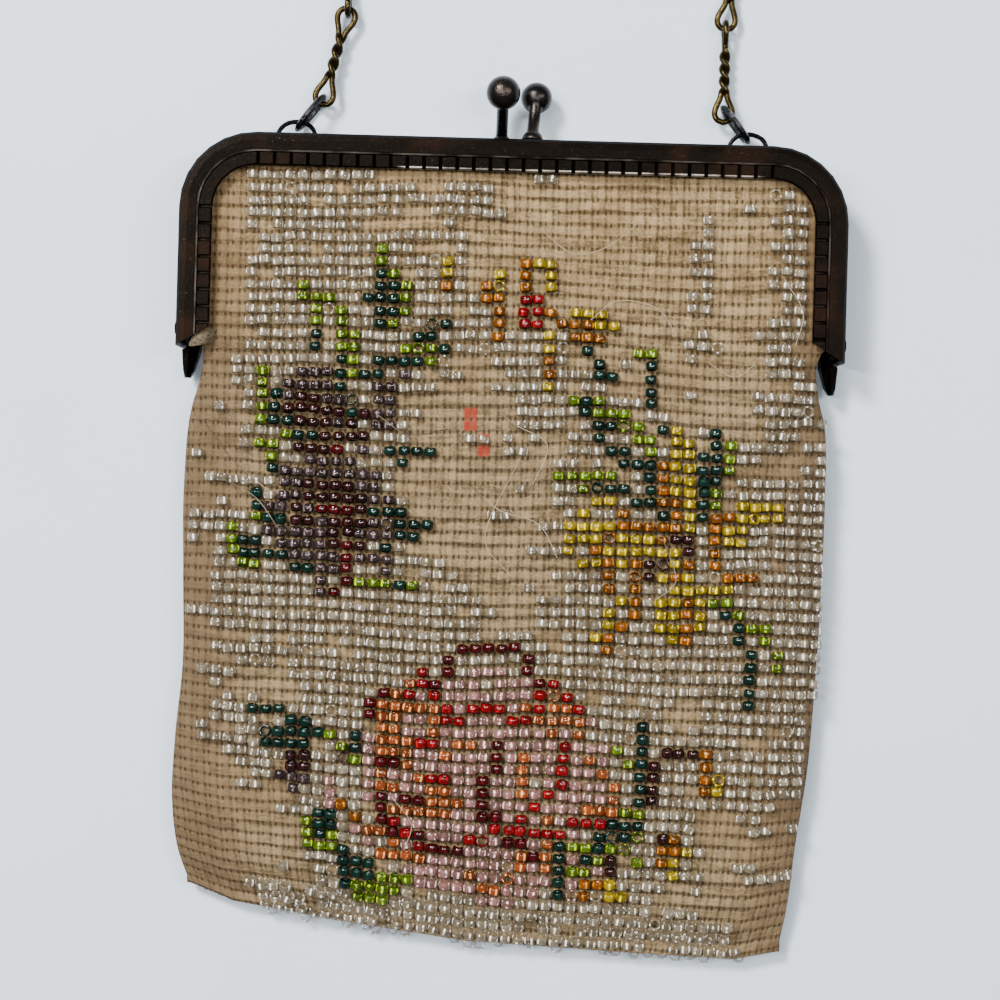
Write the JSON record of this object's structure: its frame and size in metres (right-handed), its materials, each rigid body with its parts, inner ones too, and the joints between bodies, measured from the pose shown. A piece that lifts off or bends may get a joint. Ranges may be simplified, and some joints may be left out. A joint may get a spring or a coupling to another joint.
{
  "type": "beaded flapper purse",
  "caption": "Small lying purse: a beaded cloth bag gathered into a hinged, crimped metal frame with a ball clasp, and a handle of twisted wire links.",
  "frame": {"origin": "centre of the whole purse's box, at the level that it lies on", "axes": "+Y from the bag's hem to the frame and on along the handle, +X to the right seen from the front, +Z out of the purse's front"},
  "size_m": [0.1024, 0.2326, 0.0104],
  "materials": {
    "bronzed_metal": "dark bronzed, worn at the edges",
    "dark_wire": "dark grey, dull",
    "gilt_wire": "tarnished olive gold",
    "beaded_cloth": "tan canvas with rows of clear and coloured seed beads"
  },
  "bodies": {
    "root": {"frame_front": "bronzed_metal", "frame_back": "bronzed_metal", "clasp_knob_front": "bronzed_metal", "clasp_knob_back": "bronzed_metal", "hinge_rivet_left": "bronzed_metal", "hinge_rivet_right": "bronzed_metal", "eyelet_left": "dark_wire", "eyelet_right": "dark_wire", "ring_left": "dark_wire", "ring_right": "dark_wire", "bag": "beaded_cloth", "chain_link_01": "gilt_wire", "chain_link_02": "gilt_wire", "chain_link_03": "gilt_wire", "chain_link_04": "gilt_wire", "chain_link_05": "gilt_wire", "chain_link_06": "gilt_wire", "chain_link_07": "gilt_wire", "chain_link_08": "gilt_wire", "chain_link_09": "gilt_wire", "chain_link_10": "gilt_wire", "chain_link_11": "gilt_wire", "chain_link_12": "gilt_wire", "chain_link_13": "gilt_wire", "chain_link_14": "gilt_wire", "chain_link_15": "gilt_wire", "chain_link_16": "gilt_wire", "chain_link_17": "gilt_wire"}
  },
  "joints": []
}
